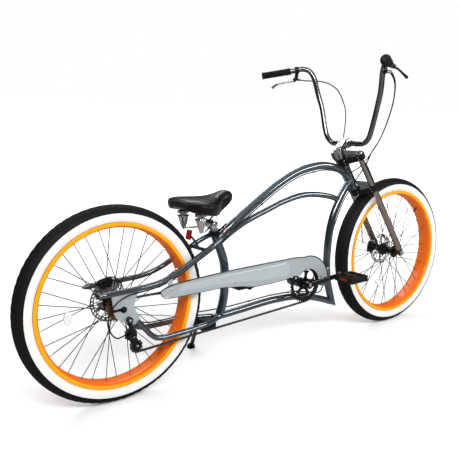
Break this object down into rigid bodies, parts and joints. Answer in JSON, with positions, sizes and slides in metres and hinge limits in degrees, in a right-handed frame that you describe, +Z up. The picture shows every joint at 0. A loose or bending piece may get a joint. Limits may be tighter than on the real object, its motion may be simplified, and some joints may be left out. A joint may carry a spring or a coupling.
{
  "type": "chopper bicycle",
  "caption": "Long, low chopper-style pedal bicycle with swept frame, double-crown fork, tall handlebar and wide tyres, parked on its side stand.",
  "frame": {"origin": "middle of the footprint, on the ground the tyres and the stand's foot rest on", "axes": "+X forwards, +Y to the rider's left, +Z up; the bicycle leans 4.5 degrees to its left"},
  "size_m": [2.0948, 0.7398, 1.213],
  "materials": {
    "frame_grey": "metallic slate-grey paint, gloss",
    "guard_silver": "silver-grey paint, satin",
    "chrome": "polished",
    "black_metal": "black, satin",
    "black_plastic": "black, matt",
    "rubber": "black, matt",
    "rim_orange": "bright orange paint, gloss",
    "spoke_steel": "bright steel",
    "cog_bronze": "darkened bronze-brown steel",
    "leather": "black, smooth, with piping",
    "red_plastic": "red reflector"
  },
  "bodies": {
    "frame": {"arch_tube": "frame_grey", "bottom_bracket_shell": "frame_grey", "bottom_bracket_strut": "frame_grey", "chain": "black_metal", "chain_guard": "guard_silver", "chain_stay_left": "frame_grey", "chain_stay_right": "frame_grey", "down_tube": "frame_grey", "dropout_left": "guard_silver", "dropout_right": "guard_silver", "head_tube": "frame_grey", "headset_cup_lower": "black_metal", "headset_cup_upper": "black_metal", "lower_tube": "frame_grey", "rear_axle": "black_metal", "rear_derailleur": "black_metal", "rear_reflector": "red_plastic", "saddle": "leather", "saddle_clamp_and_springs": "chrome", "seat_post": "chrome", "seat_stay_left": "frame_grey", "seat_stay_right": "frame_grey", "seat_tube": "frame_grey", "stand_bracket": "black_metal", "stay_bridge": "frame_grey", "top_tube": "frame_grey"},
    "rear_wheel": {"rear_tyre": "rubber", "rear_rim": "rim_orange", "rear_hub_and_spokes": "spoke_steel", "freewheel": "cog_bronze"},
    "steering": {"steerer": "chrome", "fork_crown_lower": "black_metal", "fork_crown_upper": "black_metal", "fork_leg_left": "chrome", "fork_leg_right": "chrome", "front_axle": "black_metal", "stem": "chrome", "handlebar": "chrome", "grip_left": "rubber", "grip_right": "rubber", "brake_lever_left": "black_metal", "brake_lever_right": "black_metal", "grip_shifter": "black_plastic"},
    "front_wheel": {"front_tyre": "rubber", "front_rim": "rim_orange", "front_hub_and_spokes": "spoke_steel", "front_rotor": "spoke_steel"},
    "crankset": {"chainring": "black_metal", "crank_spindle": "black_metal", "crank_arm_left": "black_metal", "crank_arm_right": "black_metal"},
    "pedal_left_body": {"pedal_left": "black_plastic"},
    "pedal_right_body": {"pedal_right": "black_plastic"},
    "kickstand": {"stand_leg": "black_metal"}
  },
  "joints": [
    {"name": "steering_turn", "type": "hinge", "parent": "frame", "child": "steering", "pos_m": [0.67377, -0.06517, 0.32072], "axis": [-0.5402, 0.066, 0.8389], "range_deg": [-40, 40]},
    {"name": "rear_wheel_spin", "type": "hinge", "parent": "frame", "child": "rear_wheel", "pos_m": [-0.70575, -0.06356, 0.34119], "axis": [0, 0.9969, -0.0785], "continuous": true},
    {"name": "front_wheel_spin", "type": "hinge", "parent": "steering", "child": "front_wheel", "pos_m": [0.70575, -0.06356, 0.34119], "axis": [0, 0.9969, -0.0785], "continuous": true},
    {"name": "crank_spin", "type": "hinge", "parent": "frame", "child": "crankset", "pos_m": [0.11425, -0.06764, 0.28935], "axis": [0, 0.9969, -0.0785], "continuous": true},
    {"name": "pedal_left_spin", "type": "hinge", "parent": "crankset", "child": "pedal_left_body", "pos_m": [-0.05482, 0.03364, 0.26355], "axis": [0, 0.9969, -0.0785], "continuous": true},
    {"name": "pedal_right_spin", "type": "hinge", "parent": "crankset", "child": "pedal_right_body", "pos_m": [0.28332, -0.16893, 0.31515], "axis": [0, 0.9969, -0.0785], "continuous": true},
    {"name": "stand_fold", "type": "hinge", "parent": "frame", "child": "kickstand", "pos_m": [-0.34075, -0.02557, 0.18673], "axis": [0.0706, 0.7525, 0.6548], "range_deg": [0, 95]}
  ]
}
